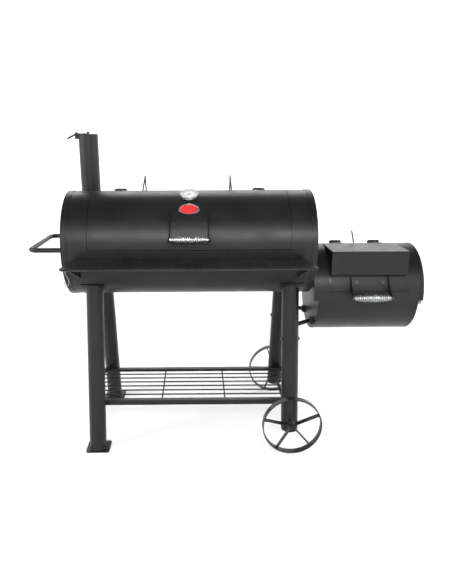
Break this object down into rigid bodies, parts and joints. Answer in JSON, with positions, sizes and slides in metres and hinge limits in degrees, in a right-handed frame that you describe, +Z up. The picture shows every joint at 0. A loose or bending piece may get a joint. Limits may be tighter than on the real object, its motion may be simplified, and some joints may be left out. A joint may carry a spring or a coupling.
{
  "type": "barrel charcoal grill with side firebox",
  "caption": "Offset barrel smoker: hinged lid, side firebox with its own door, smoke stack, front shelf, wire rack, splayed tube legs and spoked wheels.",
  "frame": {"origin": "middle of the grill's outline, on the ground", "axes": "+X from the tow handle to the firebox, front towards -Y, +Z up"},
  "size_m": [1.82, 0.811, 1.4655],
  "materials": {
    "black_paint": "satin, fine orange-peel powder coat",
    "grate_iron": "seasoned, dull",
    "chrome_wire": "bright",
    "dark_hardware": "satin black oxide",
    "bare_steel": "dull grey",
    "gauge_steel": "satin",
    "dial_white": "printed dial",
    "gauge_glass": "clear",
    "needle_black": "matt",
    "badge_enamel": "red enamel with a pale rim",
    "drawer_steel": "dull dark coat"
  },
  "bodies": {
    "frame": {"barrel_shell": "black_paint", "end_cap_left": "black_paint", "end_cap_right": "black_paint", "stack_pipe": "black_paint", "stack_hinge": "black_paint", "leg_front_left": "black_paint", "leg_front_right": "black_paint", "leg_rear_left": "black_paint", "leg_rear_right": "black_paint", "saddle_plates": "black_paint", "foot_plates": "black_paint", "axle": "black_paint", "rack_rails": "black_paint", "rack_end_bars": "black_paint", "rack_wires": "black_paint", "front_shelf": "black_paint", "shelf_brackets": "black_paint", "tool_hooks": "chrome_wire", "tow_handle": "black_paint", "lid_hinge_brackets": "black_paint", "cooking_grates": "grate_iron", "grate_ledges": "black_paint", "charcoal_grate": "grate_iron", "firebox_lower_shell": "black_paint", "firebox_upper_shell": "black_paint", "firebox_cap_left": "black_paint", "firebox_cap_right": "black_paint", "firebox_duct": "black_paint", "firebox_braces": "black_paint", "firebox_grate": "grate_iron", "door_hinge_brackets": "black_paint", "bolts": "dark_hardware"},
    "lid": {"lid_shell": "black_paint", "lid_hinge_straps": "black_paint", "lid_stops": "dark_hardware", "lid_handle_bracket": "black_paint", "lid_handle_rod": "chrome_wire", "lid_handle_coil": "chrome_wire", "thermometer_case": "gauge_steel", "thermometer_dial": "dial_white", "thermometer_lens": "gauge_glass", "lid_badge": "badge_enamel", "lid_bolts": "dark_hardware"},
    "needle": {"thermometer_needle": "needle_black"},
    "rain_cap": {"stack_cap": "black_paint", "stack_cap_handle": "dark_hardware"},
    "firebox_door": {"door_shell": "black_paint", "door_hinge_straps": "black_paint", "door_stop": "dark_hardware", "door_hood": "black_paint", "door_handle_bracket": "black_paint", "door_handle_rod": "chrome_wire", "door_handle_coil": "chrome_wire"},
    "front_wheel": {"wheel_front": "black_paint"},
    "rear_wheel": {"wheel_rear": "black_paint"},
    "drawer": {"ash_drawer": "drawer_steel", "ash_drawer_handle": "chrome_wire"},
    "shutter": {"air_shutter": "black_paint", "air_shutter_knob": "bare_steel"}
  },
  "joints": [
    {"name": "lid_hinge", "type": "hinge", "parent": "frame", "child": "lid", "pos_m": [-0.18, 0.14351, 1.18765], "axis": [-1, 0, 0], "range_deg": [0, 120]},
    {"name": "thermometer_turn", "type": "hinge", "parent": "lid", "child": "needle", "pos_m": [-0.18, -0.05135, 1.1843], "axis": [0, 0.3939, -0.9191], "range_deg": [0, 240]},
    {"name": "rain_cap_hinge", "type": "hinge", "parent": "frame", "child": "rain_cap", "pos_m": [-0.7355, 0.2345, 1.456], "axis": [0, -1, 0], "range_deg": [0, 55]},
    {"name": "firebox_door_hinge", "type": "hinge", "parent": "frame", "child": "firebox_door", "pos_m": [0.641, 0.13624, 0.92785], "axis": [-1, 0, 0], "range_deg": [0, 124]},
    {"name": "front_wheel_spin", "type": "hinge", "parent": "frame", "child": "front_wheel", "pos_m": [0.292, -0.2785, 0.138], "axis": [0, 1, 0], "continuous": true},
    {"name": "rear_wheel_spin", "type": "hinge", "parent": "frame", "child": "rear_wheel", "pos_m": [0.292, 0.3775, 0.138], "axis": [0, 1, 0], "continuous": true},
    {"name": "ash_drawer_slide", "type": "slide", "parent": "frame", "child": "drawer", "axis": [1, 0, 0], "range_m": [0, 0.36]},
    {"name": "air_shutter_turn", "type": "hinge", "parent": "frame", "child": "shutter", "pos_m": [0.874, -0.0455, 0.655], "axis": [1, 0, 0], "range_deg": [0, 45]}
  ]
}
